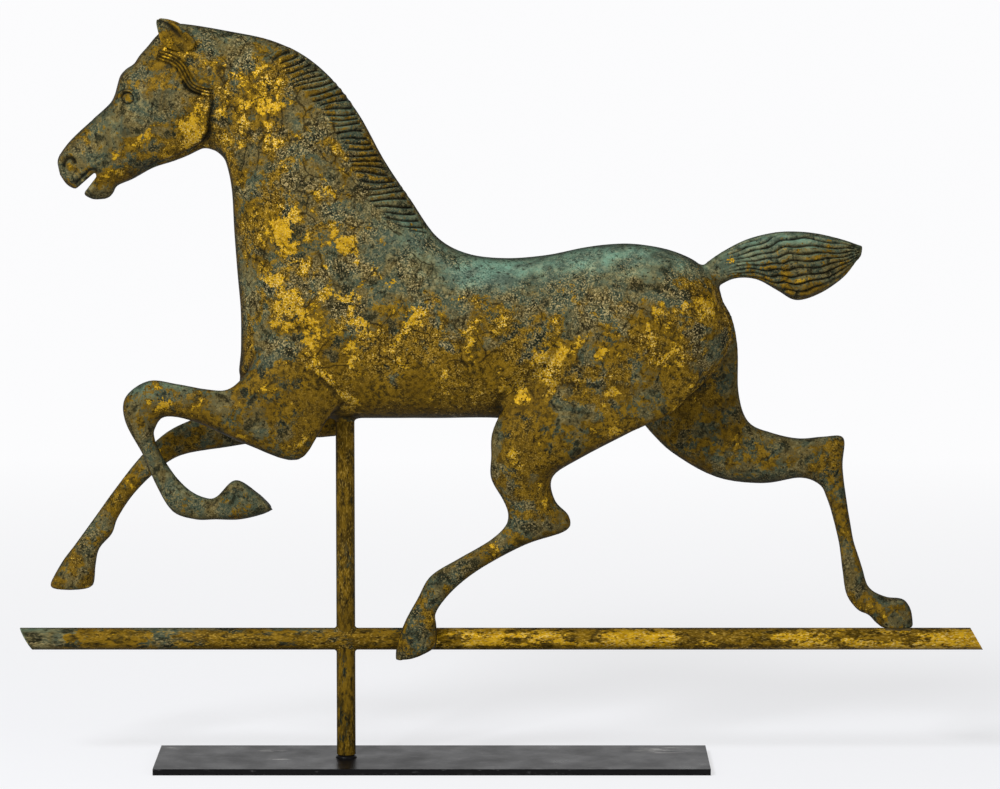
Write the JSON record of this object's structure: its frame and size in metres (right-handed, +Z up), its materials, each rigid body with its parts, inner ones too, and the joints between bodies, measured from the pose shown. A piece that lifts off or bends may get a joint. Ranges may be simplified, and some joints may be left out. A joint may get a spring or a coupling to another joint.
{
  "type": "horse weathervane",
  "caption": "Hollow copper running horse on a sleeve tube with a crossbar, turning freely on a rod welded to a flat steel display plate.",
  "frame": {"origin": "on the spindle's axis at the underside of the base plate", "axes": "+X towards the horse's tail, along the crossbar and the plate, the horse faces -X; +Y towards the horse's right side; +Z up along the spindle"},
  "size_m": [0.9738, 0.1279, 0.754],
  "materials": {
    "blackened_steel": "blackened flat steel with a satin sheen and light scuffs",
    "rod_steel": "dark drawn steel rod",
    "weld_steel": "blackened weld bead",
    "sleeve_brass": "aged gilding gone brown on a drawn tube",
    "bush_bronze": "turned bearing bronze",
    "bare_copper": "dull copper strip",
    "dull_solder": "grey solder gone dark",
    "crossbar_gilding": "worn gilding with dark specks on a drawn tube",
    "gilded_copper": "worn gold leaf over dark and green weathered copper"
  },
  "bodies": {
    "stand": {"base_plate": "blackened_steel", "spindle_rod": "rod_steel", "rod_weld": "weld_steel"},
    "vane": {"sleeve_tube": "sleeve_brass", "guide_bush": "bush_bronze", "pivot_cap": "bush_bronze", "sleeve_brace": "bare_copper", "belly_collar": "dull_solder", "crossbar_tube": "crossbar_gilding", "crossbar_head_cap": "crossbar_gilding", "crossbar_tail_cap": "crossbar_gilding", "crossing_solder": "dull_solder", "hoof_solder": "dull_solder", "body_near_shell": "gilded_copper", "body_far_shell": "gilded_copper", "near_ear": "gilded_copper", "far_ear": "gilded_copper", "near_foreleg_outer": "gilded_copper", "near_foreleg_inner": "gilded_copper", "far_foreleg_outer": "gilded_copper", "far_foreleg_inner": "gilded_copper", "near_hindleg_outer": "gilded_copper", "near_hindleg_inner": "gilded_copper", "far_hindleg_outer": "gilded_copper", "far_hindleg_inner": "gilded_copper", "tail_near_shell": "gilded_copper", "tail_far_shell": "gilded_copper"}
  },
  "joints": [
    {"name": "vane_spin", "type": "hinge", "parent": "stand", "child": "vane", "pos_m": [0, 0, 0.5], "axis": [0, 0, 1], "continuous": true}
  ]
}
